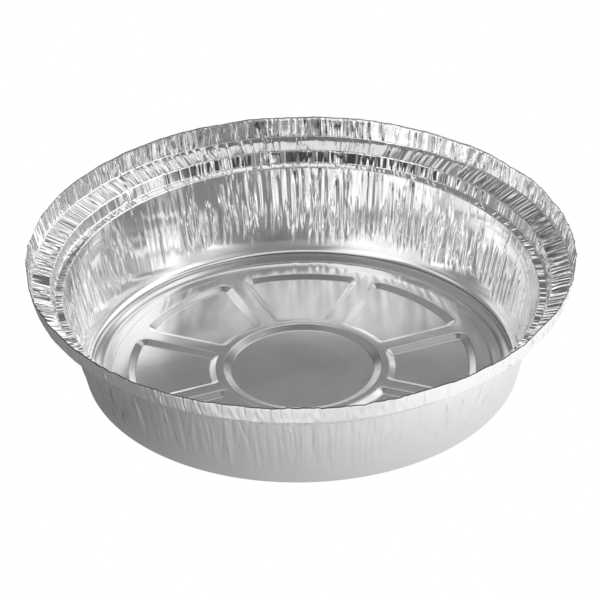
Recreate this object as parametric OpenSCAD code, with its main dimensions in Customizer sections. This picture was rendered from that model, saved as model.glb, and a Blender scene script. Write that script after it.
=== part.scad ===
// Round pie tin pressed from one sheet of aluminium foil.
// The sheet is one closed solid: an inner skin and an outer skin, one foil
// thickness apart, joined along the trimmed top edge of the flange.
// Both skins are rings of points that run from the top edge to the centre.

/* [Rim] */
// Diameter across the top edge of the upright flange
rim_d = 235; // [190:1:280]
// Overall height, from the table to the top edge
pan_h = 56; // [40:1:80]
// Height of the upright flange
flange_h = 9.2; // [5:0.1:14]
// How far the flange leans out over its height
flange_flare = 2.5; // [0.5:0.1:5]
// Width of the flat shelf inside the flange
shelf_w = 8.2; // [5:0.1:12]
// Fall of the shelf towards the inside
shelf_fall = 1.7; // [0.5:0.1:2.5]
// Height of the short step below the shelf
step_h = 5.1; // [3:0.1:8]
// How far the step leans in over its height
step_lean = 1.8; // [0.8:0.1:3]
// Width of the narrow ledge at the foot of the step
ledge_w = 3.6; // [2:0.1:6]
// Fall of the ledge towards the inside
ledge_fall = 0.4; // [0.2:0.1:1]

/* [Wall] */
// Slope of the tall wall, in degrees from upright
wall_slope = 13.4; // [8:0.1:18]
// Radius of the smooth bend at the foot of the wall
heel_r = 4; // [2.5:0.1:6]
// How far that bend turns in, in degrees from upright
heel_turn = 64; // [50:1:75]
// Thickness of the foil
foil = 0.09; // [0.06:0.01:0.2]

/* [Pressed base] */
// Height of the raised ribs above the floor
emboss_h = 1.5; // [0.8:0.1:2.2]
// Width of the narrow level lip inside the bend
lip_w = 1; // [0.6:0.1:1.6]
// Width of the slope from the lip down to the foot ring
lip_slope_w = 4.65; // [3:0.05:6]
// Width of the foot ring that the tin stands on
foot_w = 3.4; // [2:0.1:5]
// Width of the slope from the foot ring up to the ribs
rise_w = 1.2; // [0.8:0.1:2]
// Width of the raised band between the foot ring and the panels
band_w = 6; // [3:0.1:9]
// Number of sunk panels, and of ribs between them
panels = 8; // [6:1:10]
// Width of the raised rib between two panels
rib_w = 6; // [3:0.1:8]
// Width of the slope from a rib down to a panel's floor
panel_slope_w = 2.9; // [1.5:0.1:3.5]
// Radius of a panel's outer corners
outer_corner_r = 4.5; // [3:0.1:6]
// Radius of a panel's inner corners
inner_corner_r = 3; // [2:0.1:4]
// Diameter of the sunk disc in the centre, at its top edge
disc_d = 67.6; // [50:0.1:80]
// Width of the slope from the raised ring down to the disc
disc_slope_w = 3.2; // [1.5:0.1:5]
// Width of the raised ring between the disc and the panels
ring_w = 3.3; // [2:0.1:6]

/* [Wrinkles] */
// Number of wrinkles gathered around the side
wrinkles = 136; // [96:8:144]
// Depth of the wrinkles where the wall meets the ledge
wall_wrinkle = 1.1; // [0:0.05:1.6]
// Depth of the creases across the step
step_wrinkle = 0.9; // [0:0.05:1.4]
// Depth of the creases across the shelf
shelf_wrinkle = 0.55; // [0:0.05:1]
// Depth of the fine creases along the top edge
edge_wrinkle = 0.3; // [0:0.05:0.6]
// How far the wall's wrinkles reach down, as a share of the wall
wrinkle_reach = 0.78; // [0.6:0.01:0.9]

/* [Hidden] */

// Whole numbers of wrinkles and panels
wrinkle_count = round(wrinkles);
panel_count = round(panels);

// Faces along the sheet's outline, for each panel or for the whole turn
ring_n = 2 * wrinkle_count;
lip_n = 10 * panel_count;
disc_n = 6 * panel_count;
heel_n = 3;
arc_n = 3;
inner_arc_n = 2;
corner_n = 2;
sector = 360 / panel_count;
start = -sector / 2;

// Heights of the pressed forms, measured on the inner skin
floor_z = foil;
rib_z = floor_z + emboss_h;
flange_z = pan_h - flange_h;
shelf_z = flange_z - shelf_fall;
step_z = shelf_z - step_h;
ledge_z = step_z - ledge_fall;

// Radii of the rings, worked inwards from the top edge
rim_r = rim_d / 2 - foil;
flange_r = rim_r - flange_flare;
shelf_r = flange_r - shelf_w;
step_r = shelf_r - step_lean;
ledge_r = step_r - ledge_w;

// The wall is a straight slope that runs into the round heel, centred at heel_mid_r and heel_z
heel_z = rib_z + heel_r;
wall_foot_z = heel_z - heel_r * sin(wall_slope);
wall_foot_r = ledge_r - (ledge_z - wall_foot_z) * tan(wall_slope);
heel_mid_r = wall_foot_r - heel_r * cos(wall_slope);
lip_r = heel_mid_r + heel_r * cos(heel_turn) - lip_w;
lip_z = heel_z - heel_r * sin(heel_turn);

// The pressed base, worked inwards from the lip and outwards from the disc
foot_r = lip_r - lip_slope_w;
rise_r = foot_r - foot_w;
band_r = rise_r - rise_w;
panel_out_r = band_r - band_w;
disc_r = disc_d / 2;
panel_in_r = disc_r + ring_w;
disc_floor_r = disc_r - disc_slope_w;

// A repeatable irregular number between 0 and 1 for each place in a row
function uneven(i, row) =
    let (v = sin(i * 127.1 + row * 311.7 + 19.3) * 43758.5453) v - floor(v);

// The sheet is calmer in two stretches near the front of the rim
function calm(a) = 1 - 0.6 * exp(-pow((a - 205) / 16, 2)) - 0.5 * exp(-pow((a - 325) / 12, 2));

// Wrinkled rings: radius, height, depth of the wrinkles and row of the irregular numbers
wall_mid = 0.34 * wrinkle_reach;
function on_wall(share) = [
    ledge_r + (wall_foot_r - ledge_r) * share,
    ledge_z + (wall_foot_z - ledge_z) * share
];
wrinkled = [
    [rim_r, pan_h, edge_wrinkle, 1],
    [flange_r, flange_z, shelf_wrinkle, 2],
    [shelf_r, shelf_z, step_wrinkle, 3],
    [step_r, step_z, step_wrinkle, 4],
    [ledge_r, ledge_z, wall_wrinkle, 5],
    [on_wall(wall_mid)[0], on_wall(wall_mid)[1], 0.8 * wall_wrinkle, 6],
    [on_wall(wrinkle_reach)[0], on_wall(wrinkle_reach)[1], 0.2 * wall_wrinkle, 7]
];

// Plain rings: the heel as an arc down to the lip, then the foot ring and the rise to the ribs
heel = [
    for (k = [0 : heel_n])
        let (a = wall_slope + (heel_turn - wall_slope) * k / heel_n)
            [heel_mid_r + heel_r * cos(a), heel_z - heel_r * sin(a)]
];
plain = concat(heel, [[lip_r, lip_z], [foot_r, floor_z], [rise_r, floor_z], [band_r, rib_z]]);

// The whole outline, with one more point on the base for the last direction
outline = concat([for (w = wrinkled) [w[0], w[1]]], plain, [[panel_out_r, rib_z]]);

// Direction across the sheet at a ring: unit thickness on both of its sides
function across(i) =
    let (a = outline[max(i - 1, 0)], b = outline[max(i, 1)], c = outline[i + 1])
    let (u = (b - a) / norm(b - a), v = i == 0 ? u : (c - b) / norm(c - b))
    let (m = [u[1], -u[0]], n = [v[1], -v[0]]) (m + n) / (1 + m * n);

function polar(r, a, z) = [r * cos(a), r * sin(a), z];

// One point of a wrinkled ring: ridges and valleys take turns, with uneven depth and spacing
function wrinkle_point(i, j, down) =
    let (w = wrinkled[i], m = across(i), turn = j % ring_n)
    let (a = start + 360 * (j + 0.55 * (uneven(turn, w[3]) - 0.5)) / ring_n)
    let (side = turn % 2 == 0 ? 0.5 : -0.5)
    let (depth = w[2] * calm(a) * (0.35 + 0.65 * uneven(turn, w[3] + 9)))
    let (p = m / norm(m) * side * depth - m * down, nick = i == 0 ? edge_wrinkle * uneven(turn, 30) : 0)
        polar(w[0] + p[0], a, w[1] + p[1] - nick);

function plain_point(i, j, down) =
    let (q = plain[i], m = across(len(wrinkled) + i))
        polar(q[0] - m[0] * down, start + 360 * j / lip_n, q[1] - m[1] * down);

// Half of a panel's outer or inner edge, from its middle to the end of its corner
function corner_centre(r, gap) =
    let (l = sqrt(r * r - gap * gap), h = sector / 2)
        [l * cos(h) + gap * sin(h), l * sin(h) - gap * cos(h)];

function half_edge(r, gap, corner, out, n) =
    let (c = corner_centre(r - out * corner, gap + corner), turn = atan2(c[1], c[0]))
    let (from = out > 0 ? turn : turn + 180, to = sector / 2 + 90)
    concat(
        [for (k = [0 : n - 1]) r * [cos(turn * k / n), sin(turn * k / n)]],
        [for (k = [0 : corner_n])
            let (a = from + (to - from) * k / corner_n) c + corner * [cos(a), sin(a)]]
    );

// The whole edge, mirrored about the panel's middle and turned to its place
function edge(r, gap, corner, out, n, turn, z) =
    let (half = half_edge(r, gap, corner, out, n), m = len(half) - 1)
    [
        for (k = [-m : m])
            let (p = half[abs(k)], y = k < 0 ? -p[1] : p[1])
                [p[0] * cos(turn) - y * sin(turn), p[0] * sin(turn) + y * cos(turn), z]
    ];

// A panel's four edges: outer and inner at the ribs' height, then the same on its floor
function panel_points(turn, down) =
    let (w = panel_slope_w, gap = rib_w / 2)
    let (q = max(outer_corner_r - w, 0.8), s = max(inner_corner_r - w, 0.8))
    concat(
        edge(panel_out_r, gap, outer_corner_r, 1, arc_n, turn, rib_z - down),
        edge(panel_in_r, gap, inner_corner_r, -1, inner_arc_n, turn, rib_z - down),
        edge(panel_out_r - w, gap + w, q, 1, arc_n, turn, floor_z - down),
        edge(panel_in_r + w, gap + w, s, -1, inner_arc_n, turn, floor_z - down)
    );

// All points of one skin
function skin_points(down) = concat(
    [for (i = [0 : len(wrinkled) - 1], j = [0 : ring_n - 1]) wrinkle_point(i, j, down)],
    [for (i = [0 : len(plain) - 1], j = [0 : lip_n - 1]) plain_point(i, j, down)],
    [for (j = [0 : disc_n - 1]) polar(disc_r, start + 360 * j / disc_n, rib_z - down)],
    [for (j = [0 : disc_n - 1]) polar(disc_floor_r, start + 360 * j / disc_n, floor_z - down)],
    [[0, 0, floor_z - down]],
    [for (s = [0 : panel_count - 1], p = panel_points(sector * s, down)) p]
);

// Where each ring starts in that list
plain_at = len(wrinkled) * ring_n;
disc_at = plain_at + len(plain) * lip_n;
centre_at = disc_at + 2 * disc_n;
panels_at = centre_at + 1;
outer_n = 2 * (arc_n + corner_n) + 1;
inner_n = 2 * (inner_arc_n + corner_n) + 1;
panel_n = 2 * (outer_n + inner_n);
skin_n = panels_at + panel_count * panel_n;

function ring(at, n) = [for (k = [0 : n]) at + k % n];
function run(at, n) = [for (k = [0 : n - 1]) at + k];
function part_ring(at, n, first, count) = [for (k = [first : first + count]) at + k % n];
function back(row) = [for (k = [len(row) - 1 : -1 : 0]) row[k]];

// Triangles between an outer row a and an inner row b that may differ in count
function strip(a, b) =
    let (n = len(a) - 1, m = len(b) - 1)
    concat(
        [for (i = [0 : n - 1]) [a[i + 1], a[i], b[ceil(((2 * i + 1) * m - n) / (2 * n))]]],
        [for (j = [0 : m - 1]) [b[j], b[j + 1], a[floor(((2 * j + 1) * n + m) / (2 * m))]]]
    );

function panel_faces(s) =
    let (at = panels_at + s * panel_n)
    let (top_out = run(at, outer_n), top_in = run(at + outer_n, inner_n))
    let (low_out = run(at + outer_n + inner_n, outer_n), low_in = run(at + 2 * outer_n + inner_n, inner_n))
    let (band_at = plain_at + (len(plain) - 1) * lip_n)
    let (band_share = lip_n / panel_count, disc_share = disc_n / panel_count)
    let (band = part_ring(band_at, lip_n, s * band_share, band_share))
    let (disc = part_ring(disc_at, disc_n, s * disc_share, disc_share))
    let (o = outer_n - 1, i = inner_n - 1, b = len(band) - 1, d = len(disc) - 1)
    concat(
        strip(band, top_out),
        strip(top_in, disc),
        [[disc[d], band[b], top_out[o]], [disc[d], top_out[o], top_in[i]]],
        [[top_in[0], top_out[0], band[0]], [top_in[0], band[0], disc[0]]],
        strip(concat(top_out, back(top_in), [top_out[0]]), concat(low_out, back(low_in), [low_out[0]])),
        strip(low_out, low_in)
    );

skin_faces = concat(
    [for (i = [0 : len(wrinkled) - 2], f = strip(ring(i * ring_n, ring_n),
        ring((i + 1) * ring_n, ring_n))) f],
    strip(ring((len(wrinkled) - 1) * ring_n, ring_n), ring(plain_at, lip_n)),
    [for (i = [0 : len(plain) - 2], f = strip(ring(plain_at + i * lip_n, lip_n),
        ring(plain_at + (i + 1) * lip_n, lip_n))) f],
    [for (s = [0 : panel_count - 1], f = panel_faces(s)) f],
    strip(ring(disc_at, disc_n), ring(disc_at + disc_n, disc_n)),
    [for (j = [0 : disc_n - 1]) [disc_at + disc_n + (j + 1) % disc_n, disc_at + disc_n + j, centre_at]]
);

// The pressed sheet, closed along its top edge
module pan() {
    under_faces = [for (f = skin_faces) [f[2] + skin_n, f[1] + skin_n, f[0] + skin_n]];
    edge_faces = strip(ring(skin_n, ring_n), ring(0, ring_n));
    color("silver")
        polyhedron(
            points = concat(skin_points(0), skin_points(foil)),
            faces = concat(skin_faces, under_faces, edge_faces),
            convexity = 6
        );
}

pan();
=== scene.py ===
"""A pressed foil pie tin in soft studio light.

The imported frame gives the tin's place and overall size. One finely modelled sheet of foil, cut
into two pieces at the top of the wall, stands for its single node. Lengths in this script are
millimetres until a mesh is made, apart from those of the studio and the shaders, in metres.
"""

import math

import bpy
import numpy as np
from mathutils import Matrix, Vector


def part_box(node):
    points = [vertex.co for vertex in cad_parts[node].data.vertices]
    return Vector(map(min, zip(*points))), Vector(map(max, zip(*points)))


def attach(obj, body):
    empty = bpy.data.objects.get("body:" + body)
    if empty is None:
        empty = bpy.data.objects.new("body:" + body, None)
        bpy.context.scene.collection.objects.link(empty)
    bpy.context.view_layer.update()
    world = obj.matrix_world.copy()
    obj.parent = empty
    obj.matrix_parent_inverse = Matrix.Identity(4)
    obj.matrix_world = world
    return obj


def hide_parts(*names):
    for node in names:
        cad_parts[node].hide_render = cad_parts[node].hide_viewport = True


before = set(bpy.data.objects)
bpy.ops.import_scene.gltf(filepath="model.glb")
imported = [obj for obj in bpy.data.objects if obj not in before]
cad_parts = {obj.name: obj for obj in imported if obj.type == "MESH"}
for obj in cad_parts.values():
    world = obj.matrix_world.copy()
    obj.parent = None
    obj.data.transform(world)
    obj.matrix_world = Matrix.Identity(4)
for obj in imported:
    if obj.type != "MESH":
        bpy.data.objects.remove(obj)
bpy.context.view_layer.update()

MM = 0.001
# The trimmed edge stays this far inside the solid, which leaves room for its sway
RIM_MARGIN = 0.25
low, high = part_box("pan")
RIM_R = 0.5 * (high.x - low.x) / MM - RIM_MARGIN
PAN_H = high.z / MM

# Sheet and its pressed outline
FOIL = 0.09
FLANGE_H, FLANGE_FLARE = 8.9, 2.5
SHELF_W, SHELF_FALL = 8.2, 2.4
STEP_H, STEP_LEAN = 5.05, 1.8
LEDGE_W, LEDGE_FALL = 3.6, -0.03
WALL_SLOPE = math.radians(13.4)
HEEL_R = 4.0
HEEL_TURN = math.radians(64)
EMBOSS_H = 1.5
LIP_W, LIP_SLOPE_W, FOOT_W, RISE_W, BAND_W = 1.0, 4.65, 3.4, 1.2, 6.0
PANELS = 8
RIB_W, PANEL_SLOPE_W = 6.0, 2.9
OUTER_CORNER_R, INNER_CORNER_R = 4.5, 3.0
OUTER_CORNER_MIN, INNER_CORNER_MIN = 1.2, 1.0
DISC_R, DISC_SLOPE_W, RING_W = 33.8, 3.2, 3.3

# Trimmed edge: how far it curls, sways and is nicked, and how far down the sheet each reaches.
# A sway is its size, the number of its waves around the tin and its phase
EDGE_CURL, CURL_REACH = 0.3, 0.45
SWAYS = ((0.25, 3, 1), (0.18, 5, 0), (0.12, 9, 2))
SWAY_REACH = 17
NICKS, NICK_DEPTH, NICK_REACH = 320, 0.32, 6
FLATS, FLAT_LOOSENESS = 42, 0.35

# Fineness of the mesh: points around the tin and along the edges of a panel, rows, and how
# strongly large faces level the shading
RIM_N = 2240
WALL_N = 1728
BASE_N = 288
DISC_N_PER_PANEL = 24
OUTER_ARC_N, INNER_ARC_N, CORNER_N = 12, 8, 6
WALL_ROWS = 17
HEEL_ROWS = 6
FLAT_DISC_ROWS = (12, 22)
LEVEL_WEIGHT = 70

# Zones of the side from the top down, each with the shares of its length at which its rows
# lie, and how far from the fold under each zone the sheet starts to bend
ZONES = {
    "flange": (0, 0.025, 0.05, 0.2, 0.4, 0.6, 0.8, 0.965, 1),
    "shelf": (0, 0.04, 0.5, 0.96, 1),
    "step": (0, 0.07, 0.93, 1),
    "ledge": (0, 0.1, 0.9, 1),
    "wall": [0, 0.01] + [k / WALL_ROWS for k in range(1, WALL_ROWS + 1)],
}
FOLD_BENDS = (0.22, 0.17, 0.16, 0.22)

# Lip at the end of the heel: rows as distances inside the heel's end or outside the lip's
# inner edge, and heights above the lip. The slope inside it has rows at shares of its width,
# and a power below 1 makes it fall sooner
LIP_GROOVE = ((0.12, -0.08), (0.3, 0.04))
LIP_CREST = ((0.45, 0.1), (0.1, 0.0))
LIP_SLOPE_SHARES = (0.1, 0.25, 0.42, 0.6, 0.8)
LIP_SLOPE_POWER = 0.8

# Rounding of the rise to the ribs, and of the slopes into the panels and the disc
RISE_START, RISE_BEND_W, RISE_BEND_H = 0.35, 0.2, 0.25
SLOPE_TOP = ((-0.2, 0.0), (0.1, 0.06))
SLOPE_FOOT = ((-0.1, 0.06), (0.25, 0.0))
SLOPE_TOP_W, SLOPE_FOOT_W = 0.35, 0.5
PANEL_BENDS, DISC_BENDS = (0.2, 0.28), (0.18, 0.26)

# Marks that the material reads from the mesh: how crumpled the foil is, which fades down the
# wall, and the length along the sheet, with one value each for the base and its fold line,
# which gets a painted line of shade
CREASED, STEP_CREASED, WALL_CREASED = 1.0, 0.66, 0.6
WALL_CREASED_REACH = 38
BASE_ALONG, FOLD_SHADE_ALONG = 80.0, 90.0

FLOOR_Z = FOIL
RIB_Z = FLOOR_Z + EMBOSS_H
SECTOR = 2 * math.pi / PANELS
START = -SECTOR / 2
SEED = 7
rng = np.random.default_rng(SEED)


def outline_corners():
    """Corner points of the sheet's inner side from the top down, and the heel's centre."""
    r, z = RIM_R - FOIL, PAN_H
    points = [(r, z)]
    for inward, down in ((FLANGE_FLARE, FLANGE_H), (SHELF_W, SHELF_FALL),
                         (STEP_LEAN, STEP_H), (LEDGE_W, LEDGE_FALL)):
        r, z = r - inward, z - down
        points.append((r, z))
    heel_z = RIB_Z + HEEL_R
    foot_z = heel_z - HEEL_R * math.sin(WALL_SLOPE)
    foot_r = r - (z - foot_z) * math.tan(WALL_SLOPE)
    points.append((foot_r, foot_z))
    return np.array(points), foot_r - HEEL_R * math.cos(WALL_SLOPE), heel_z


def side_rows(corners):
    """Rows of the wrinkled side: points, unit directions across the sheet, and zones."""
    points, names = [], []
    last = corners[0]
    for k, (name, shares) in enumerate(ZONES.items()):
        end = corners[k + 1]
        way = (end - last) / np.linalg.norm(end - last)
        folded = k < len(FOLD_BENDS)
        stop = end - way * FOLD_BENDS[k] if folded else end
        for share in shares:
            points.append(last + (stop - last) * share)
            names.append(name)
        if folded:
            after = corners[k + 2] - end
            last = end + after / np.linalg.norm(after) * FOLD_BENDS[k]
    points = np.array(points)
    step = np.gradient(points, axis=0)
    step /= np.linalg.norm(step, axis=1)[:, None]
    return points, np.stack([step[:, 1], -step[:, 0]], 1), names


CORNERS, HEEL_MID_R, HEEL_Z = outline_corners()
rows, across, zone = side_rows(CORNERS)
length = np.concatenate([[0], np.cumsum(np.linalg.norm(np.diff(rows, axis=0), axis=1))])
LIP_R = HEEL_MID_R + HEEL_R * math.cos(HEEL_TURN) - LIP_W
LIP_Z = HEEL_Z - HEEL_R * math.sin(HEEL_TURN)
FOOT_R = LIP_R - LIP_SLOPE_W
RISE_R = FOOT_R - FOOT_W
BAND_R = RISE_R - RISE_W
PANEL_OUT_R = BAND_R - BAND_W
PANEL_IN_R = DISC_R + RING_W


def span(name):
    """Length along the sheet at which a zone starts and ends."""
    at = [length[i] for i, z in enumerate(zone) if z == name]
    return min(at), max(at)


def ease(share):
    """Goes smoothly from 0 to 1 as the share does."""
    share = min(max(share, 0.0), 1.0)
    return share * share * (3 - 2 * share)


def swell(share, ends, early):
    """Grows from 0 to 1 and fades again over the shares in ends, begun a little early."""
    grow, fade = ends
    return ease((share + early) / grow) * ease((1 + early - share) / fade)


def sign(share=0.5):
    """Plus one in this share of the draws, or else minus one."""
    return 1 if rng.random() < share else -1


def around(count, looseness=0.5):
    """Angles spread around the tin. Each strays by up to looseness times their spacing."""
    return [2 * math.pi * (k + rng.uniform(-looseness, looseness)) / count for k in range(count)]


# Stretches where the foil is crowded: angle from +X and half width, both in degrees. Pleats
# are lower in a mild stretch and start further down the wall in a low one. A stretch fades
# out at BUSY_REACH half widths
CREASE_BUSY = ((106, 4), (119, 3), (145, 5), (83, 4), (64, 3), (48, 6), (222, 14),
               (240, 11), (256, 11), (274, 5), (288, 7), (302, 12), (321, 5))
WALL_BUSY = ((73, 27), (178, 14))
WALL_MILD = ((28, 20), (255, 50))
WALL_LOW = ((20, 26), (170, 22))
SHELF_BUSY = ((136, 27), (12, 46), (238, 22), (292, 18))
FLANGE_BUSY = ((85, 28), (130, 12), (25, 22), (210, 25), (270, 40), (330, 20))
FLANGE_CALM = ((90, 42),)
STEP_BUSY = ((172, 12), (108, 8), (86, 6), (64, 13), (38, 22), (222, 25), (285, 20), (330, 12))
BUSY_REACH = 1.6


def busy(angle, stretches):
    """How crowded the foil is at an angle: 1 in the middle of a stretch and 0 between them."""
    far = [abs((angle - math.radians(a) + math.pi) % (2 * math.pi) - math.pi) / math.radians(w)
           for a, w in stretches]
    return max(ease(BUSY_REACH - f) for f in far)


# Form of ridges and bulges: how hollow the flanks of a sharp ridge are, how early both begin
# as a share of their length, and the width in mm beyond which a bulge grows no higher.
# Valleys are unevenly spaced and stop short of the first one by a small angle
RIDGE_POWER = 1.15
CREASE_EARLY, PILLOW_EARLY = 0.02, 0.03
PILLOW_W = 4.0
VALLEY_SPREAD = (0.45, 1.6)
SEAM_GAP = 0.004


def crease(field, turn, start, end, drift, half, height, ends, bow=0.0, soft=False):
    """Adds one ridge that runs down the sheet from length start to end.

    turn is its place around the tin, drift how far it moves sideways on the way down and bow
    how far its middle bends aside. half is its half width and height how far it stands out.
    ends are the shares of its length over which it grows and fades. A soft ridge is rounded
    and the others have a sharp top. All lengths are in mm.
    """
    for i in np.where((length >= start) & (length <= end))[0]:
        share = (length[i] - start) / max(end - start, 1e-6)
        grown = swell(share, ends, CREASE_EARLY)
        n = len(field[i])
        pitch = 2 * math.pi * rows[i][0] / n
        centre = ((turn - START) * rows[i][0] + drift * (share - 0.5)
                  + bow * math.sin(math.pi * share)) / pitch
        wide = half * (0.5 + 0.5 * grown)
        reach = int(wide / pitch) + 2
        cols = np.arange(int(centre) - reach, int(centre) + reach + 1)
        x = np.clip(np.abs(cols - centre) * pitch / wide, 0, 1)
        form = 0.5 + 0.5 * np.cos(math.pi * x) if soft else (1 - x) ** RIDGE_POWER
        field[i][cols % n] += height * grown * form


def ridge_height(half, slope):
    """Height of a ridge whose flanks rise by slope, in degrees."""
    return half * math.tan(math.radians(slope))


def valleys(spacing):
    """Angles of the sharp valleys around the tin, as far apart in mm as spacing(angle) says."""
    turns, turn = [], 0.0
    while turn < 2 * math.pi - SEAM_GAP:
        turns.append(turn)
        turn += spacing(turn + START) * rng.uniform(*VALLEY_SPREAD) / RIM_R
    return np.array(turns)


def crowding(turns, stretches):
    """How crowded the foil is at each valley."""
    return np.array([busy(t + START, stretches) for t in turns])


def pillows(field, name, turns, drift, slopes, ends):
    """Soft bulges between sharp valleys that run across one zone of the sheet.

    drift is how far a valley moves sideways in mm, slopes how steep each bulge is at its edges.
    ends are the shares of the zone over which the bulges rise and sink.
    """
    top, bottom = span(name)
    moves = rng.normal(0, drift, len(turns)) / RIM_R
    for i in [i for i, z in enumerate(zone) if z == name]:
        share = (length[i] - top) / (bottom - top)
        at = np.sort((turns + moves * (share - 0.5)) % (2 * math.pi))
        at = np.concatenate([[at[-1] - 2 * math.pi], at, [at[0] + 2 * math.pi]])
        here = 2 * math.pi * np.arange(len(field[i])) / len(field[i])
        k = np.searchsorted(at, here, side="right")
        t = (here - at[k - 1]) / np.maximum(at[k] - at[k - 1], 1e-6)
        wide = np.minimum((at[k] - at[k - 1]) * rows[i][0], PILLOW_W)
        field[i] += swell(share, ends, PILLOW_EARLY) * slopes[k % len(slopes)] * wide * t * (1 - t)


# Creases of the wall. Starts and ends are mm from its top or shares of its length, half widths,
# heights and drifts mm, and slopes degrees. A pair of values is a range that is drawn from, but
# one of the STARTS is chosen, and ENDS are the shares of a crease over which it grows and
# fades. OUT is the share that stands out of the sheet. PLEAT_CALM is how much of its slope
# a pleat keeps in a calm place, PLEAT_MILD how far a mild stretch counts as crowded, and
# PLEAT_FORM the height of a soft pleat as a share of a sharp one's
PLEATS, PLEAT_LOOSENESS = 178, 0.27
PLEAT_STARTS, PLEAT_LATE_START = (-1.5, 0.5), (1, 7)
PLEAT_LOW_START, PLEAT_END = (0.2, 0.5), (0.78, 0.98)
PLEAT_HALF, PLEAT_SLOPE, PLEAT_FORM = (1.15, 2.0), (14, 33), 0.7
PLEAT_CALM, PLEAT_MILD = 0.14, 0.55
PLEATS_OUT, PLEAT_DRIFT, PLEAT_ENDS = 0.85, 0.7, (0.2, 0.25)
FORKS, FORK_SPREAD, FORK_START, FORK_END = 0.25, (1.5, 3.2), 1, (0.4, 0.7)
FORK_HALF, FORK_HEIGHT_SHARE, FORK_SHIFT, FORK_ENDS = 0.45, 0.5, 0.25, (0.1, 0.4)
THIN_CREASES, THIN_SKIPPED, THIN_KEPT_BUSY = 360, 0.92, 0.87
THIN_START, THIN_LENGTH, THIN_LOWEST = (-0.05, 0.5), (0.2, 0.65), 0.88
THIN_HALF, THIN_SLOPE, THIN_DRIFT, THIN_BOW = (0.4, 0.75), (20, 50), 2.0, 0.6
THIN_ENDS = (0.25, 0.25)
SHORT_CREASES, SHORT_START, SHORT_END, SHORT_ENDS = 90, -1.5, (3, 8), (0.1, 0.5)
SHORT_HALF, SHORT_HEIGHT, SHORT_DRIFT = (0.4, 0.7), (0.1, 0.26), 0.8


def pleat(field, turn, top, tall):
    """One long soft pleat from the ledge down the wall, and sometimes a fork beside it."""
    crowd = max(busy(turn, WALL_BUSY), PLEAT_MILD * busy(turn, WALL_MILD))
    start = top + rng.choice([*PLEAT_STARTS, rng.uniform(*PLEAT_LATE_START)])
    start += tall * rng.uniform(*PLEAT_LOW_START) * busy(turn, WALL_LOW)
    end = top + tall * rng.uniform(*PLEAT_END)
    half = rng.uniform(*PLEAT_HALF)
    slope = rng.uniform(*PLEAT_SLOPE) * (PLEAT_CALM + (1 - PLEAT_CALM) * crowd)
    height = PLEAT_FORM * ridge_height(half, slope) * sign(PLEATS_OUT)
    drift = rng.normal(0, PLEAT_DRIFT)
    bow = rng.normal(0, PLEAT_DRIFT)
    crease(field, turn, start, end, drift, half, height, PLEAT_ENDS, bow, soft=True)
    if rng.random() < FORKS:
        spread = sign() * rng.uniform(*FORK_SPREAD)
        beside = turn + FORK_SHIFT * spread / rows[0][0]
        end = top + tall * rng.uniform(*FORK_END)
        crease(field, beside, top + FORK_START, end, drift + spread, FORK_HALF,
               FORK_HEIGHT_SHARE * height, FORK_ENDS)


def wall_creases(field):
    """Long pleats from the ledge down the wall, thin slanting creases and short ones on top."""
    top, bottom = span("wall")
    tall = bottom - top
    for turn in around(PLEATS, PLEAT_LOOSENESS):
        pleat(field, turn, top, tall)
    for turn in around(THIN_CREASES):
        if rng.random() < THIN_SKIPPED - THIN_KEPT_BUSY * busy(turn, CREASE_BUSY):
            continue
        start = top + tall * rng.uniform(*THIN_START)
        end = min(start + tall * rng.uniform(*THIN_LENGTH), top + THIN_LOWEST * tall)
        half = rng.uniform(*THIN_HALF)
        height = ridge_height(half, rng.uniform(*THIN_SLOPE)) * sign()
        drift, bow = rng.normal(0, THIN_DRIFT), rng.normal(0, THIN_BOW)
        crease(field, turn, start, end, drift, half, height, THIN_ENDS, bow)
    for turn in around(SHORT_CREASES):
        end = top + rng.uniform(*SHORT_END)
        drift, half = rng.normal(0, SHORT_DRIFT), rng.uniform(*SHORT_HALF)
        height = sign() * rng.uniform(*SHORT_HEIGHT)
        crease(field, turn, top + SHORT_START, end, drift, half, height, SHORT_ENDS)


# Creases of the shelf. Spacings are mm between valleys, and SHELF_SUNK is the share of bulges
# that are sunk. A CALM or BUSY value is added to the one before it where the foil is calm or
# crowded, but SHELF_CREASE_CALM is how much of its height a crease keeps in a calm place
SHELF_SPACING, SHELF_CALM_SPACING = 2.1, 4.0
SHELF_SLOPE, SHELF_BUSY_SLOPE, SHELF_SLOPE_SPREAD = 0.26, 0.24, (0.35, 1.2)
SHELF_SUNK, SHELF_DRIFT, SHELF_ENDS = 0.15, 0.6, (0.1, 0.1)
SHELF_CREASES, SHELF_CREASES_OUT, SHELF_CREASE_CALM = 330, 0.4, 0.8
SHELF_CREASE_HEIGHT, SHELF_CREASE_HALF, SHELF_CREASE_DRIFT = (0.07, 0.19), (0.35, 0.5), 1.2
SHELF_CREASE_STARTS, SHELF_CREASE_END, SHELF_CREASE_ENDS = (-1, 2, 4), (-4, 0.5), (0.1, 0.2)


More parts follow.
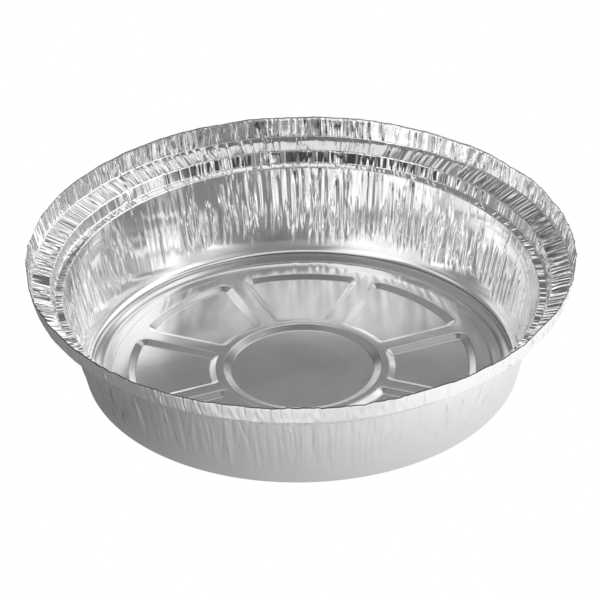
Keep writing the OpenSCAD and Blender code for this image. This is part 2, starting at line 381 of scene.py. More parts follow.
def shelf_creases(field):
    """Pillows between radial valleys across the shelf, crowded in some stretches."""
    turns = valleys(lambda a: SHELF_SPACING + SHELF_CALM_SPACING * (1 - busy(a, SHELF_BUSY)))
    slopes = SHELF_SLOPE + SHELF_BUSY_SLOPE * crowding(turns, SHELF_BUSY)
    slopes *= rng.uniform(*SHELF_SLOPE_SPREAD, len(turns))
    slopes *= np.where(rng.random(len(turns)) < SHELF_SUNK, -1, 1)
    pillows(field, "shelf", turns, SHELF_DRIFT, slopes, SHELF_ENDS)
    top, bottom = span("shelf")
    for turn in around(SHELF_CREASES):
        crowd = SHELF_CREASE_CALM + (1 - SHELF_CREASE_CALM) * busy(turn, SHELF_BUSY)
        height = sign(SHELF_CREASES_OUT) * rng.uniform(*SHELF_CREASE_HEIGHT) * crowd
        start = top + rng.choice(SHELF_CREASE_STARTS)
        end = bottom + rng.uniform(*SHELF_CREASE_END)
        drift, half = rng.normal(0, SHELF_CREASE_DRIFT), rng.uniform(*SHELF_CREASE_HALF)
        crease(field, turn, start, end, drift, half, height, SHELF_CREASE_ENDS)


# Creases of the flange. Ridges start at the trimmed edge or somewhat below it, and end near
# the shelf. In a crowded stretch the valleys are closer by FLANGE_BUSY_CLOSER, and a calm one
# takes away the share FLANGE_CALMED of the slopes
FLANGE_SPACING, FLANGE_BUSY_CLOSER = 3.4, 1.2
FLANGE_SLOPE, FLANGE_BUSY_SLOPE, FLANGE_CALMED = 0.06, 0.14, 0.65
FLANGE_DRIFT, FLANGE_ENDS = 1.6, (0.02, 0.25)
FLANGE_RIDGES, FLANGE_RIDGES_OUT, FLANGE_RIDGE_DRIFT = 230, 0.6, 1.0
FLANGE_RIDGE_HALF, FLANGE_RIDGE_SLOPE, FLANGE_RIDGE_ENDS = (0.35, 0.7), (18, 38), (0.1, 0.12)
EDGE_START, FLANGE_RIDGE_START, FLANGE_RIDGE_END = -1.0, (0, 5), (-3, 0.8)
FLANGE_FORKS, FLANGE_FORK_START, FLANGE_FORK_END = 0.5, (3, 6.5), 0.5
FLANGE_FORK_SPREAD, FLANGE_FORK_HALF, FLANGE_FORK_HEIGHT_SHARE = 2, 0.35, 0.8
FLANGE_FORK_ENDS = (0.3, 0.1)


def flange_creases(field):
    """Upright facets in the flange, with forked ridges that end at its foot."""
    turns = valleys(lambda a: FLANGE_SPACING - FLANGE_BUSY_CLOSER * busy(a, FLANGE_BUSY))
    slopes = FLANGE_SLOPE + FLANGE_BUSY_SLOPE * crowding(turns, FLANGE_BUSY)
    slopes *= rng.normal(0, 1, len(turns))
    slopes *= 1 - FLANGE_CALMED * crowding(turns, FLANGE_CALM)
    pillows(field, "flange", turns, FLANGE_DRIFT, slopes, FLANGE_ENDS)
    bottom = span("flange")[1]
    for turn in around(FLANGE_RIDGES):
        start = rng.choice([EDGE_START, rng.uniform(*FLANGE_RIDGE_START)])
        drift = rng.normal(0, FLANGE_RIDGE_DRIFT)
        half = rng.uniform(*FLANGE_RIDGE_HALF)
        height = ridge_height(half, rng.uniform(*FLANGE_RIDGE_SLOPE)) * sign(FLANGE_RIDGES_OUT)
        end = bottom + rng.uniform(*FLANGE_RIDGE_END)
        crease(field, turn, start, end, drift, half, height, FLANGE_RIDGE_ENDS)
        if rng.random() < FLANGE_FORKS:
            start = bottom - rng.uniform(*FLANGE_FORK_START)
            drift += sign() * FLANGE_FORK_SPREAD
            crease(field, turn, start, bottom + FLANGE_FORK_END, drift, FLANGE_FORK_HALF,
                   FLANGE_FORK_HEIGHT_SHARE * height, FLANGE_FORK_ENDS)


# Folds and creases of the step and the ledge. A share of the bulges is folded, the rest flat
STEP_SPACING, STEP_CALM_SPACING = 1.2, 3.2
STEP_FOLDED, STEP_BUSY_FOLDED, STEP_SUNK = 0.12, 0.7, 0.3
STEP_SLOPE, STEP_FLAT_SLOPE, LEDGE_SLOPE_SHARE = (0.35, 0.95), 0.02, 0.4
STEP_DRIFT, LEDGE_DRIFT, STEP_ENDS = 0.5, 0.4, (0.12, 0.12)
STEP_CREASES, STEP_CREASES_OUT, STEP_CREASE_DRIFT = 130, 0.6, 0.7
STEP_CREASE_START, STEP_CREASE_END, STEP_CREASE_ENDS = -0.5, (-3, 1), (0.15, 0.2)
STEP_CREASE_HALF, STEP_CREASE_HEIGHT = (0.35, 0.6), (0.12, 0.3)


def step_creases(field):
    """Folds over the step and the ledge, flat between them, in clumps."""
    turns = valleys(lambda a: STEP_SPACING + STEP_CALM_SPACING * (1 - busy(a, STEP_BUSY)))
    folded = STEP_FOLDED + STEP_BUSY_FOLDED * crowding(turns, STEP_BUSY)
    slopes = np.where(rng.random(len(turns)) < folded,
                      rng.uniform(*STEP_SLOPE, len(turns)), STEP_FLAT_SLOPE)
    slopes *= np.where(rng.random(len(turns)) < STEP_SUNK, -1, 1)
    pillows(field, "step", turns, STEP_DRIFT, slopes, STEP_ENDS)
    pillows(field, "ledge", turns, LEDGE_DRIFT, LEDGE_SLOPE_SHARE * slopes, STEP_ENDS)
    top, bottom = span("step")[0], span("ledge")[1]
    for turn in around(STEP_CREASES):
        end = bottom + rng.uniform(*STEP_CREASE_END)
        drift, half = rng.normal(0, STEP_CREASE_DRIFT), rng.uniform(*STEP_CREASE_HALF)
        height = sign(STEP_CREASES_OUT) * rng.uniform(*STEP_CREASE_HEIGHT)
        crease(field, turn, top + STEP_CREASE_START, end, drift, half, height, STEP_CREASE_ENDS)


# Height in mm of the finest unevenness, which only the rim has
GRAIN_H = 0.006


def wrinkle_field():
    """Height of the crumpled foil above its smooth outline, one array for each row."""
    field = [np.zeros(WALL_N if z == "wall" else RIM_N) for z in zone]
    wall_creases(field)
    shelf_creases(field)
    flange_creases(field)
    step_creases(field)
    for i, z in enumerate(zone):
        if z != "wall":
            grain = rng.normal(0, GRAIN_H, RIM_N)
            field[i] += grain + 0.5 * (np.roll(grain, 1) + np.roll(grain, -1))
    return field


def flats(angle):
    """How far the rim's short straight stretches cut inside the round outline."""
    corners = np.sort(np.array(around(FLATS, FLAT_LOOSENESS)) % (2 * math.pi))
    corners = np.concatenate([[corners[-1] - 2 * math.pi], corners, [corners[0] + 2 * math.pi]])
    a = angle % (2 * math.pi)
    k = np.searchsorted(corners, a)
    before, after = corners[k - 1], corners[k]
    return RIM_R * (1 - np.cos((after - before) / 2) / np.cos(a - (before + after) / 2))


def ring_angles(n):
    """Angles of the n points of a row, from the rib beside the first panel."""
    return START + 2 * math.pi * np.arange(n) / n


def ring_points(r, z, n):
    """Points of a plain round row."""
    a = ring_angles(n)
    return np.stack([r * np.cos(a), r * np.sin(a), np.full(n, z)], 1)


class Sheet:
    """Collects the points and faces of the foil, all seen from its inner side."""

    def __init__(self):
        self.points, self.faces, self.crumple, self.along = [], [], [], []
        self.count = 0

    def row(self, points, crumple=0.0, along=BASE_ALONG):
        """Adds a row of points with its two marks and returns their numbers."""
        first = self.count
        self.points.append(np.asarray(points))
        self.crumple.append(np.full(len(points), crumple))
        self.along.append(np.full(len(points), along))
        self.count += len(points)
        return list(range(first, self.count))

    def band(self, a, b):
        """Closed ring of quads between an outer row a and an inner row b with as many points."""
        n = len(a)
        for i in range(n):
            j = (i + 1) % n
            self.faces.append((a[i], a[j], b[j], b[i]))

    def strip(self, a, b, closed=False):
        """Triangles between an outer row a and an inner row b with differing counts."""
        if closed:
            a, b = a + a[:1], b + b[:1]
        n, m = len(a) - 1, len(b) - 1
        for i in range(n):
            self.faces.append((a[i], a[i + 1], b[math.ceil(((2 * i + 1) * m - n) / (2 * n))]))
        for j in range(m):
            self.faces.append((b[j + 1], b[j], a[((2 * j + 1) * n + m) // (2 * m)]))


def remaining(depth, reach):
    """Falls from 1 at no depth to 0 at its reach and below."""
    return max(0.0, 1 - depth / reach)


def side(rim, bowl):
    """Puts the flange, shelf, step and ledge in the rim and the wall in the bowl.

    The bowl starts with a copy of the rim's last row. Returns the wall's last row.
    """
    field = wrinkle_field()
    rim_angle = ring_angles(RIM_N)
    cut = flats(rim_angle)
    sway = sum(size * np.sin(waves * rim_angle + phase) for size, waves, phase in SWAYS) - cut
    nick = np.interp(np.arange(RIM_N), np.arange(NICKS + 1) * RIM_N / NICKS,
                     rng.uniform(-NICK_DEPTH, 0.0, NICKS + 1))
    wall_top = span("wall")[0]
    sheet, above = rim, None
    for i, (r, z) in enumerate(rows):
        angle = ring_angles(len(field[i]))
        radius = r + across[i][0] * field[i]
        height = z + across[i][1] * field[i]
        upper = zone[i] in ("flange", "shelf")
        if upper:
            radius = radius + sway * remaining(length[i], SWAY_REACH)
            height = height + nick * remaining(length[i], NICK_REACH)
            radius = radius - EDGE_CURL * remaining(length[i], CURL_REACH)
        if zone[i] == "wall" and sheet is rim:
            sheet, above = bowl, bowl.row(points, CREASED, length[i - 1])
        points = np.stack([radius * np.cos(angle), radius * np.sin(angle), height], 1)
        if sheet is rim:
            crumple = CREASED if upper else STEP_CREASED
        else:
            crumple = WALL_CREASED * remaining(length[i] - wall_top, WALL_CREASED_REACH)
        row = sheet.row(points, crumple, length[i])
        if above and len(above) == len(row):
            sheet.band(above, row)
        elif above:
            sheet.strip(above, row, closed=True)
        above = row
    return above


def heel_and_foot(sheet, above):
    """The smooth heel, the lip, the curved slope to the foot ring and the rise to the ribs."""
    turn = np.linspace(WALL_SLOPE, HEEL_TURN, HEEL_ROWS + 1)[1:]
    points = [(HEEL_MID_R + HEEL_R * math.cos(a), HEEL_Z - HEEL_R * math.sin(a)) for a in turn]
    heel_end_r = points[-1][0]
    points += [(heel_end_r - inward, LIP_Z + up) for inward, up in LIP_GROOVE]
    points += [(LIP_R + outward, LIP_Z + up) for outward, up in LIP_CREST]
    for share in LIP_SLOPE_SHARES:
        fall = 0.5 - 0.5 * math.cos(math.pi * share ** LIP_SLOPE_POWER)
        points.append((LIP_R - LIP_SLOPE_W * share, LIP_Z - (LIP_Z - FLOOR_Z) * fall))
    points += [
        (FOOT_R, FLOOR_Z), (RISE_R + RISE_START, FLOOR_Z),
        (RISE_R - RISE_BEND_W, FLOOR_Z + RISE_BEND_H),
        (BAND_R + RISE_BEND_W, RIB_Z - RISE_BEND_H), (BAND_R - RISE_START, RIB_Z)
    ]
    # The heel's last row and the groove's first row carry the mark for a painted line of shade in
    # the fold
    fold_shade_rows = (HEEL_ROWS - 1, HEEL_ROWS)
    for k, (r, z) in enumerate(points):
        along = FOLD_SHADE_ALONG if k in fold_shade_rows else BASE_ALONG
        row = sheet.row(ring_points(r, z, BASE_N), 0.0, along)
        if k == 0:
            sheet.strip(above, row, closed=True)
        else:
            sheet.band(above, row)
        above = row
    return above


def half_edge(r, gap, corner, out, arc_n):
    """Half of a panel's outer or inner edge, from its middle round its corner."""
    half_sector = SECTOR / 2
    reach, side_gap = r - out * corner, gap + corner
    run = math.sqrt(reach ** 2 - side_gap ** 2)
    c, s = math.cos(half_sector), math.sin(half_sector)
    centre = np.array([run * c + side_gap * s, run * s - side_gap * c])
    turn = math.atan2(centre[1], centre[0])
    a = turn * np.arange(arc_n) / arc_n
    start = turn if out > 0 else turn + math.pi
    end = half_sector + math.pi / 2
    b = start + (end - start) * np.arange(CORNER_N + 1) / CORNER_N
    arc = np.stack([r * np.cos(a), r * np.sin(a)], 1)
    bend = centre + corner * np.stack([np.cos(b), np.sin(b)], 1)
    return np.concatenate([arc, bend])


def panel_edge(turn, inset, out, z):
    """One edge of a panel, moved in from the ribs by inset, turned to its place."""
    gap = RIB_W / 2 + inset
    if out > 0:
        corner = max(OUTER_CORNER_R - inset, OUTER_CORNER_MIN)
        half = half_edge(PANEL_OUT_R - inset, gap, corner, 1, OUTER_ARC_N)
    else:
        corner = max(INNER_CORNER_R - inset, INNER_CORNER_MIN)
        half = half_edge(PANEL_IN_R + inset, gap, corner, -1, INNER_ARC_N)
    mirrored = half[:0:-1] * [1, -1]
    edge = np.concatenate([mirrored, half])
    c, s = math.cos(turn), math.sin(turn)
    return np.stack([edge[:, 0] * c - edge[:, 1] * s, edge[:, 0] * s + edge[:, 1] * c,
                     np.full(len(edge), z)], 1)


def slope_steps(width, bends):
    """Rows of a pressed slope, as distance inward and depth, rounded at its top and foot."""
    top, foot = bends
    steps = [*SLOPE_TOP, (SLOPE_TOP_W, top), (width - SLOPE_FOOT_W, EMBOSS_H - foot)]
    return steps + [(width + past, EMBOSS_H - left) for past, left in SLOPE_FOOT]


def panel(sheet, k, band, disc):
    """One sunk panel, with the ribs that lie around it."""
    turn = SECTOR * k
    before = None
    for inset, down in slope_steps(PANEL_SLOPE_W, PANEL_BENDS):
        outer = sheet.row(panel_edge(turn, inset, 1, RIB_Z - down))
        inner = sheet.row(panel_edge(turn, inset, -1, RIB_Z - down))
        if before is None:
            sheet.strip(band, outer)
            sheet.strip(inner, disc)
            sheet.faces.append((disc[-1], inner[-1], outer[-1], band[-1]))
            sheet.faces.append((inner[0], disc[0], band[0], outer[0]))
        else:
            loop = before[0] + before[1][::-1]
            sheet.band(loop, outer + inner[::-1])
        before = outer, inner
    sheet.strip(*before)


def pressed_base(sheet, above):
    """The ribs with their sunk panels, and the sunk disc in the centre."""
    per_panel = BASE_N // PANELS
    disc_n = DISC_N_PER_PANEL * PANELS
    steps = slope_steps(DISC_SLOPE_W, DISC_BENDS) + [(inset, EMBOSS_H) for inset in FLAT_DISC_ROWS]
    discs = [sheet.row(ring_points(DISC_R - inset, RIB_Z - down, disc_n)) for inset, down in steps]
    for k in range(PANELS):
        band = [above[(k * per_panel + j) % BASE_N] for j in range(per_panel + 1)]
        disc = [discs[0][(k * DISC_N_PER_PANEL + j) % disc_n] for j in range(DISC_N_PER_PANEL + 1)]
        panel(sheet, k, band, disc)
    for a, b in zip(discs, discs[1:]):
        sheet.band(a, b)
    middle = sheet.row([[0.0, 0.0, FLOOR_Z]])[0]
    last = discs[-1]
    for i in range(disc_n):
        sheet.faces.append((last[i], last[(i + 1) % disc_n], middle))


def link(name, data):
    """Makes an object of a mesh, a light or a camera and puts it in the scene."""
    made = bpy.data.objects.new(name, data)
    bpy.context.scene.collection.objects.link(made)
    return made


def foil_piece(name, sheet, bright_side, dull_side):
    """Makes the object of a sheet, as thick as the foil, and puts it in the tin's place."""
    mesh = bpy.data.meshes.new(name)
    mesh.from_pydata((np.concatenate(sheet.points) * MM).tolist(), [], sheet.faces)
    mesh.update()
    mesh.shade_smooth()
    for title, marks in (("crumple", sheet.crumple), ("along", sheet.along)):
        values = mesh.attributes.new(title, "FLOAT", "POINT")
        values.data.foreach_set("value", np.concatenate(marks).astype(np.float32))
    mesh.materials.append(bright_side)
    mesh.materials.append(dull_side)
    piece = link(name, mesh)
    thicken = piece.modifiers.new("foil", "SOLIDIFY")
    thicken.thickness = FOIL * MM
    thicken.offset = -1
    thicken.use_rim = True
    thicken.material_offset = 1
    level = piece.modifiers.new("level_flats", "WEIGHTED_NORMAL")
    level.mode = "FACE_AREA_WITH_ANGLE"
    level.weight = LEVEL_WEIGHT
    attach(piece, "root")
    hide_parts("pan")


def build_pan():
    """Both pieces of the foil, bright on the inner side and dull on the outer."""
    rim, bowl = Sheet(), Sheet()
    lowest = side(rim, bowl)
    pressed_base(bowl, heel_and_foot(bowl, lowest))
    bright_side = foil_material("bright_foil", 0.0)
    dull_side = foil_material("dull_foil", DULLNESS)
    foil_piece("foil_rim", rim, bright_side, dull_side)
    foil_piece("foil_bowl", bowl, bright_side, dull_side)


def nodes_of(owner):
    """Empty shader tree of a material or a world."""
    owner.use_nodes = True
    tree = owner.node_tree
    tree.nodes.clear()
    return tree


def node(tree, kind, inputs=None, **settings):
    """Adds a shader node, with its inputs set to values or linked to sockets."""
    made = tree.nodes.new(kind)
    for name, value in settings.items():
        setattr(made, name, value)
    for name, value in (inputs or {}).items():
        socket = made.inputs[name]
        if isinstance(value, bpy.types.NodeSocket):
            tree.links.new(value, socket)
        else:
            socket.default_value = value
    return made


def math_node(tree, operation, a, b=0.0, c=0.0):
    """Result of one operation on numbers."""
    return node(tree, "ShaderNodeMath", {0: a, 1: b, 2: c}, operation=operation).outputs[0]


def times(tree, a, b):
    """Product of two numbers."""
    return math_node(tree, "MULTIPLY", a, b)


def ramp(tree, value, start, end, low_value=0.0, high_value=1.0, shape="SMOOTHSTEP"):
    """Goes from the low value at start to the high value at end."""
    return node(tree, "ShaderNodeMapRange",
                {"Value": value, "From Min": start, "From Max": end,
                 "To Min": low_value, "To Max": high_value},
                interpolation_type=shape).outputs["Result"]


def vector_node(tree, operation, inputs):
    """Result of one operation on vectors."""
    return node(tree, "ShaderNodeVectorMath", inputs, operation=operation).outputs["Vector"]


def noise(tree, place, scale, detail=2.0, roughness=0.5, distortion=0.0):
    """Soft random pattern between 0 and 1."""
    return node(tree, "ShaderNodeTexNoise",
                {"Vector": place, "Scale": scale, "Detail": detail, "Roughness": roughness,
                 "Distortion": distortion}).outputs["Fac"]


def blend(tree, factor, low_colour, high_colour):
    """The low colour where the factor is 0 and the high one where it is 1."""
    return node(tree, "ShaderNodeMix", {"Factor": factor, 6: low_colour, 7: high_colour},
                data_type="RGBA").outputs[2]


def relief(tree, height, depth, under=None):
    """Normal of a bumpy surface on top of another. depth is its strength and distance."""
    inputs = {"Height": height, "Strength": depth[0], "Distance": depth[1]}
    if under:
        inputs["Normal"] = under
    return node(tree, "ShaderNodeBump", inputs).outputs["Normal"]


# Foil surface. Noise scales are per metre, and a relief is its strength and its distance in
# metres. Lines are the size in mm of the noise that they come from and how wide they are in
# it. The side is unrolled onto a circle of this radius in metres, and shortened downwards
UNROLL_R, UNROLL_STRETCH = 0.105, 0.16
LONG_LINES, SHORT_LINES, SHORT_LINE_DEPTH = (3.2, 0.07), (1.3, 0.12), 0.7
PATCH_SCALE, PATCHES = 120.0, (0.48, 0.62)
CRUMPLE_LONG, CRUMPLE_RIM = (0.45, 1.0), (0.6, 0.9)
ROLLING_SCALE = (900.0, 14.0, 900.0)
UNEVEN_SCALE, UNEVEN_DETAIL, UNEVEN_ALONG = 42.0, 1.5, (68.0, 79.0)
GRAIN_SCALE, GRAIN_DETAIL, GRAIN_ROUGHNESS = 620.0, 3.0, 0.6
MOTTLE_SCALE, MOTTLE_DETAIL, MOTTLE_ROUGH = 60.0, 3.0, 0.05
CREASE_RELIEF, ROLLING_RELIEF = (0.45, 0.0001), (0.005, 0.0002)
UNEVEN_RELIEF, GRAIN_RELIEF = (0.12, 0.001), (0.05, 0.0004)
SHINY_ROUGH, SATIN_ROUGH, SATIN_ALONG, DULLNESS = 0.04, 0.16, (58.0, 66.0), 0.2
FOIL_GREY, FOIL_PALE = (0.91, 0.912, 0.916, 1), (0.955, 0.955, 0.955, 1)
# Painted shade along the cut edge and in the fold where the heel ends: its grey, the lengths along
# the sheet over which the edge's shade fades, where the fold's shade begins, and how much of the
# foil's colour stays in the fold
PAINTED_SHADE_GREY, EDGE_SHADE_ALONG, FOLD_SHADE_FROM, FOLD_SHADE_KEPT = (0.1, 0.1, 0.1, 1), (0.2, 0.7), 80.5, 0.3


def unroll(tree, place, along):
    """Place on the side as if it were unrolled: around the tin, and shortened along the sheet."""
    level = vector_node(tree, "MULTIPLY", {0: place, 1: (1, 1, 0)})
    outward = vector_node(tree, "NORMALIZE", {0: level})
    around_tin = vector_node(tree, "SCALE", {0: outward, "Scale": UNROLL_R})
    down = node(tree, "ShaderNodeCombineXYZ", {2: times(tree, along, UNROLL_STRETCH * MM)})
    return vector_node(tree, "ADD", {0: around_tin, 1: down.outputs["Vector"]})


def crease_lines(tree, place, size, width):
    """Thin lines that run down the sheet, fork and cross: 0 along a line and 1 between them."""
    spread = noise(tree, place, 1 / (size * MM), 1.0, distortion=0.4)
    off = math_node(tree, "ABSOLUTE", math_node(tree, "SUBTRACT", spread, 0.5))
    return ramp(tree, off, 0.0, width)


def foil_normal(tree, place, along, crumple):
    """Thin creases on the side, rolling lines, a slightly uneven base and grain on the rim."""
    unrolled = unroll(tree, place, along)
    on_rim = ramp(tree, crumple, *CRUMPLE_RIM)
    patchy = ramp(tree, noise(tree, unrolled, PATCH_SCALE), *PATCHES)
    long_lines = times(tree, crease_lines(tree, unrolled, *LONG_LINES), patchy)
    short_lines = times(tree, crease_lines(tree, unrolled, *SHORT_LINES), patchy)
    long_deep = times(tree, long_lines, ramp(tree, crumple, *CRUMPLE_LONG))
    short_deep = times(tree, short_lines, on_rim)
    deep = math_node(tree, "MULTIPLY_ADD", short_deep, SHORT_LINE_DEPTH, long_deep)
    creased = relief(tree, deep, CREASE_RELIEF)
    rolled = node(tree, "ShaderNodeMapping", {"Vector": place, "Scale": ROLLING_SCALE})
    lines = noise(tree, rolled.outputs["Vector"], 1.0)
    lined = relief(tree, lines, ROLLING_RELIEF, creased)
    uneven = noise(tree, place, UNEVEN_SCALE, UNEVEN_DETAIL)
    uneven_base = times(tree, uneven, ramp(tree, along, *UNEVEN_ALONG))
    sagged = relief(tree, uneven_base, UNEVEN_RELIEF, lined)
    grain = noise(tree, place, GRAIN_SCALE, GRAIN_DETAIL, GRAIN_ROUGHNESS)
    return relief(tree, times(tree, grain, on_rim), GRAIN_RELIEF, sagged)


def foil_colour_and_shade(tree, mottle, along):
    """Faintly mottled aluminium, with painted shade along the cut edge and a painted line of shade
    in the fold where the heel ends.
    """
    # Painted shade: dark along the cut edge, fading a little way down the sheet
    off_edge_shade = ramp(tree, along, *EDGE_SHADE_ALONG)
    # Painted shade: a dark line in the fold where the heel ends
    off_fold_shade = ramp(tree, along, FOLD_SHADE_FROM, FOLD_SHADE_ALONG, 1.0, FOLD_SHADE_KEPT)
    unshaded = math_node(tree, "MINIMUM", off_edge_shade, off_fold_shade)
    return blend(tree, unshaded, PAINTED_SHADE_GREY, blend(tree, mottle, FOIL_GREY, FOIL_PALE))


def foil_material(name, dullness):
    """Rolled aluminium foil, shiny on the side and satin on the heel and the base."""
    material = bpy.data.materials.new(name)
    tree = nodes_of(material)
    place = node(tree, "ShaderNodeTexCoord").outputs["Object"]
    crumple = node(tree, "ShaderNodeAttribute", attribute_name="crumple").outputs["Fac"]
    along = node(tree, "ShaderNodeAttribute", attribute_name="along").outputs["Fac"]
    mottle = noise(tree, place, MOTTLE_SCALE, MOTTLE_DETAIL)
    satin = ramp(tree, along, *SATIN_ALONG, SHINY_ROUGH + dullness, SATIN_ROUGH + dullness)
    rough = math_node(tree, "MULTIPLY_ADD", mottle, MOTTLE_ROUGH, satin)
    shader = node(tree, "ShaderNodeBsdfPrincipled",
                  {"Base Color": foil_colour_and_shade(tree, mottle, along), "Metallic": 1.0,
                   "Roughness": rough, "Normal": foil_normal(tree, place, along, crumple)})
    node(tree, "ShaderNodeOutputMaterial", {"Surface": shader.outputs["BSDF"]})
    return material


# Studio light as the foil sees it: azimuth from +X, half width, elevation and half height of
# each light, how soft its edge is, all in degrees, and how much brightness it adds to SHADE. A
# dark patch takes away its last value as a share. Matt surfaces get TENT_FILL all round
TENT_R, TENT_SEGMENTS, TENT_RINGS = 2.5, 48, 24
TENT_FILL = 0.85
SHADE = 0.25
LIGHTS = (
    (5, 43, 18, 30, 7, 1.05),
    (76, 19, 46.5, 7, 2, 0.85),
    (60, 10, 14, 10, 5, 0.25),
    (227, 23, 41, 26, 6, 0.75),
    (226, 15, 36, 17, 6, 1.15),
    (284, 84, 67, 6, 2.5, 0.75),
    (318, 14, 24, 24, 12, 0.4),
    (92, 26, 63.5, 5.5, 3, 0.55),
    (90, 24, 21, 4.5, 2.5, 1.1),
    (188, 20, 39, 6.5, 4, 0.7),
    (104, 12, 11, 5, 3, 0.7),
    (20, 18, 55, 11, 3, 0.8),
)
DARKS = (
    (270, 60, 6.5, 3.5, 1.5, 0.8),
    (111, 10, 35, 14, 4, 0.45),
    (85, 40, 31, 5, 2.5, 0.42),
    (0, 190, 84, 8, 4, 0.35),
    (340, 15, 47, 9, 5, 0.38),
)

# Table as the foil mirrors it. It brightens to the right and to the front, dims far away and
# is shaded close to the tin. Places are in metres
TABLE_RIGHT, TABLE_FRONT, FRONT_GLOW = (-0.09, 0.1), (-0.1, -0.155), 0.8
TABLE_BASE, TABLE_GLOW = 0.25, 0.8
TABLE_FAR, FAR_GLOW = (0.22, 0.7), 0.25
TIN_SHADOW, SHADOW_GLOW = (0.095, 0.14), (0.78, 0.98)

# Floor, card and lamp, in metres and watts
WHITE = (1, 1, 1, 1)
FLOOR_HALF, FLOOR_AT, FLOOR_COLOUR = 6.0, -0.0003, (0.9, 0.9, 0.9, 1)
CARD_HALF, CARD_AT = 2.3, -0.0001
LAMP_SIZE, LAMP_POWER, LAMP_AT = 1.0, 8.0, (0.9, -0.2, 1.3)
WORLD_LIGHT = 0.7


def glow_material(name, strength_of):
    """A surface that only glows, as bright as the function makes of its position.

    Matt surfaces get an even glow from it instead.
    """
    material = bpy.data.materials.new(name)
    material.cycles.emission_sampling = "NONE"
    tree = nodes_of(material)
    place = node(tree, "ShaderNodeNewGeometry").outputs["Position"]
    matt = node(tree, "ShaderNodeLightPath").outputs["Is Diffuse Ray"]
    strength = node(tree, "ShaderNodeMix",
                    {0: matt, 2: strength_of(tree, place), 3: TENT_FILL}).outputs[0]
    glow = node(tree, "ShaderNodeEmission", {"Color": WHITE, "Strength": strength})
    node(tree, "ShaderNodeOutputMaterial", {"Surface": glow.outputs["Emission"]})
    return material


def patch(tree, azimuth, elevation, light):
    """Brightness that one light adds in a direction: full inside its edges, none outside."""
    at, half, up, half_height, edge = (math.radians(v) for v in light[:5])
    off = math_node(tree, "WRAP", math_node(tree, "SUBTRACT", azimuth, at), math.pi, -math.pi)
    sideways = ramp(tree, math_node(tree, "ABSOLUTE", off), half + edge, half - edge)
    rise = math_node(tree, "ABSOLUTE", math_node(tree, "SUBTRACT", elevation, up))
    upright = ramp(tree, rise, half_height + edge, half_height - edge, 0.0, light[5])
    return times(tree, sideways, upright)


def tent_strength(tree, place):
    """Shade all round, with the brightest light in each direction, less the dark patches."""
    way = vector_node(tree, "NORMALIZE", {0: place})
    axis = node(tree, "ShaderNodeSeparateXYZ", {0: way}).outputs
    azimuth = math_node(tree, "ARCTAN2", axis["Y"], axis["X"])
    elevation = math_node(tree, "ARCSINE", axis["Z"])
    total = 0.0
    for light in LIGHTS:
        total = math_node(tree, "MAXIMUM", patch(tree, azimuth, elevation, light), total)
    total = math_node(tree, "ADD", total, SHADE)
    for dark in DARKS:
        kept = math_node(tree, "SUBTRACT", 1.0, patch(tree, azimuth, elevation, dark))
        total = times(tree, total, kept)
    return total


def table_strength(tree, place):
    """The table as the foil sees it: bright on the right and in front, shaded by the tin."""
    axis = node(tree, "ShaderNodeSeparateXYZ", {0: place}).outputs
    right = ramp(tree, axis["X"], *TABLE_RIGHT, shape="LINEAR")
    front = ramp(tree, axis["Y"], *TABLE_FRONT, 0.0, FRONT_GLOW)
    lit = math_node(tree, "MAXIMUM", right, front)
    near = math_node(tree, "MULTIPLY_ADD", lit, TABLE_GLOW, TABLE_BASE)
    away = node(tree, "ShaderNodeVectorMath", {0: place}, operation="LENGTH").outputs["Value"]
    open_table = ramp(tree, away, *TABLE_FAR, 1.0, FAR_GLOW)
    in_shadow = ramp(tree, away, *TIN_SHADOW, *SHADOW_GLOW)
    return times(tree, near, times(tree, open_table, in_shadow))


def flat_square(name, half, z):
    """A level square around the tin's axis."""
    mesh = bpy.data.meshes.new(name)
    corners = [(-half, -half, z), (half, -half, z), (half, half, z), (-half, half, z)]
    mesh.from_pydata(corners, [], [(0, 1, 2, 3)])
    return link(name, mesh)


def seen_or_lit(tree, seen_shader, lit_shader):
    """One shader where the camera and mirrors look, the other for the light that it gives."""
    path = node(tree, "ShaderNodeLightPath").outputs
    mirrored = math_node(tree, "MAXIMUM", path["Is Glossy Ray"], path["Is Transmission Ray"])
    seen = math_node(tree, "MAXIMUM", path["Is Camera Ray"], mirrored)
    return node(tree, "ShaderNodeMixShader", {0: seen, 1: lit_shader, 2: seen_shader}).outputs[0]


def floor_material():
    """Pale and matt, but white where it is seen, so that the tin stands out without a shadow."""
    material = bpy.data.materials.new("pale_floor")
    tree = nodes_of(material)
    matt = node(tree, "ShaderNodeBsdfDiffuse", {"Color": FLOOR_COLOUR}).outputs["BSDF"]
    glow = node(tree, "ShaderNodeEmission", {"Color": WHITE, "Strength": 1.0}).outputs["Emission"]
    node(tree, "ShaderNodeOutputMaterial", {"Surface": seen_or_lit(tree, glow, matt)})
    return material


def table_card():
    """Stands for the table in the foil's mirror images alone, just above the floor."""
    card = flat_square("table_card", CARD_HALF, CARD_AT)
    card.data.materials.append(glow_material("table_card", table_strength))
    card.visible_camera = False
    card.visible_diffuse = False
    card.visible_shadow = False
    return card


def light_tent():
    """A sphere around the set, which the camera doesn't see."""
    bpy.ops.mesh.primitive_uv_sphere_add(segments=TENT_SEGMENTS, ring_count=TENT_RINGS,
                                         radius=TENT_R)
    tent = bpy.context.object
    tent.name = "tent"
    tent.data.materials.append(glow_material("tent", tent_strength))
    tent.visible_camera = False
    return tent


def softbox():
    """A soft lamp high on the right, aimed at the tin."""
    lamp = bpy.data.lights.new("softbox", "AREA")
    lamp.shape = "DISK"
    lamp.size = LAMP_SIZE
    lamp.energy = LAMP_POWER
    light = link("softbox", lamp)
    light.location = LAMP_AT
    light.rotation_euler = (-Vector(LAMP_AT)).to_track_quat("-Z", "Y").to_euler()
    light.visible_glossy = False


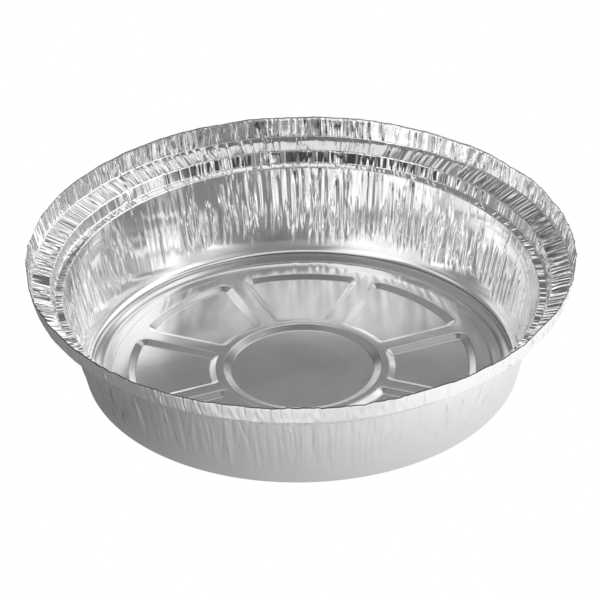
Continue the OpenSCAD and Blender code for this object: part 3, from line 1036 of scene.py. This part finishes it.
def white_world():
    """White where it is seen, and a soft light from all round."""
    world = bpy.data.worlds.new("studio")
    bpy.context.scene.world = world
    tree = nodes_of(world)
    soft = node(tree, "ShaderNodeBackground", {"Color": WHITE, "Strength": WORLD_LIGHT}).outputs[0]
    white = node(tree, "ShaderNodeBackground", {"Color": WHITE, "Strength": 1.0}).outputs[0]
    node(tree, "ShaderNodeOutputWorld", {"Surface": seen_or_lit(tree, white, soft)})


def studio():
    """Floor, table card, light tent, lamp and world."""
    floor = flat_square("floor", FLOOR_HALF, FLOOR_AT)
    floor.data.materials.append(floor_material())
    card = table_card()
    tent = light_tent()
    softbox()
    white_world()


# Camera with a long lens, fitted to the top edge as the photograph shows it. Its place was
# found in multiples of that edge's radius
CAMERA_TILT = math.radians(32.29)
CAMERA_ROLL = math.radians(1.16)
FOCAL_PX = 8432.0
IMAGE_PX = 600.0
SENSOR_MM = 36.0
FITTED_R = 117.5
CAMERA_AWAY, CAMERA_RIGHT, CAMERA_UP = 30.49 * FITTED_R, 0.0010 * FITTED_R, 0.1510 * FITTED_R
CLIP_NEAR, CLIP_FAR = 0.1, 20


def make_camera():
    """Looks down at the tin, with the top edge's centre a little above the picture's middle."""
    c, s = math.cos(CAMERA_TILT), math.sin(CAMERA_TILT)
    cr, sr = math.cos(CAMERA_ROLL), math.sin(CAMERA_ROLL)
    right = Vector((cr, -sr * s, -sr * c))
    up = Vector((sr, cr * s, cr * c))
    ahead = Vector((0, c, -s))
    centre = Vector((0, 0, PAN_H))
    place = centre - right * CAMERA_RIGHT - up * CAMERA_UP - ahead * CAMERA_AWAY
    lens = bpy.data.cameras.new("camera")
    lens.sensor_width = SENSOR_MM
    lens.lens = FOCAL_PX / IMAGE_PX * SENSOR_MM
    lens.clip_start, lens.clip_end = CLIP_NEAR, CLIP_FAR
    camera = link("camera", lens)
    turn = Matrix((right, up, -ahead)).transposed().to_4x4()
    camera.matrix_world = Matrix.Translation(place * MM) @ turn
    bpy.context.scene.camera = camera


build_pan()
studio()
make_camera()
bpy.context.scene.view_settings.view_transform = "Standard"
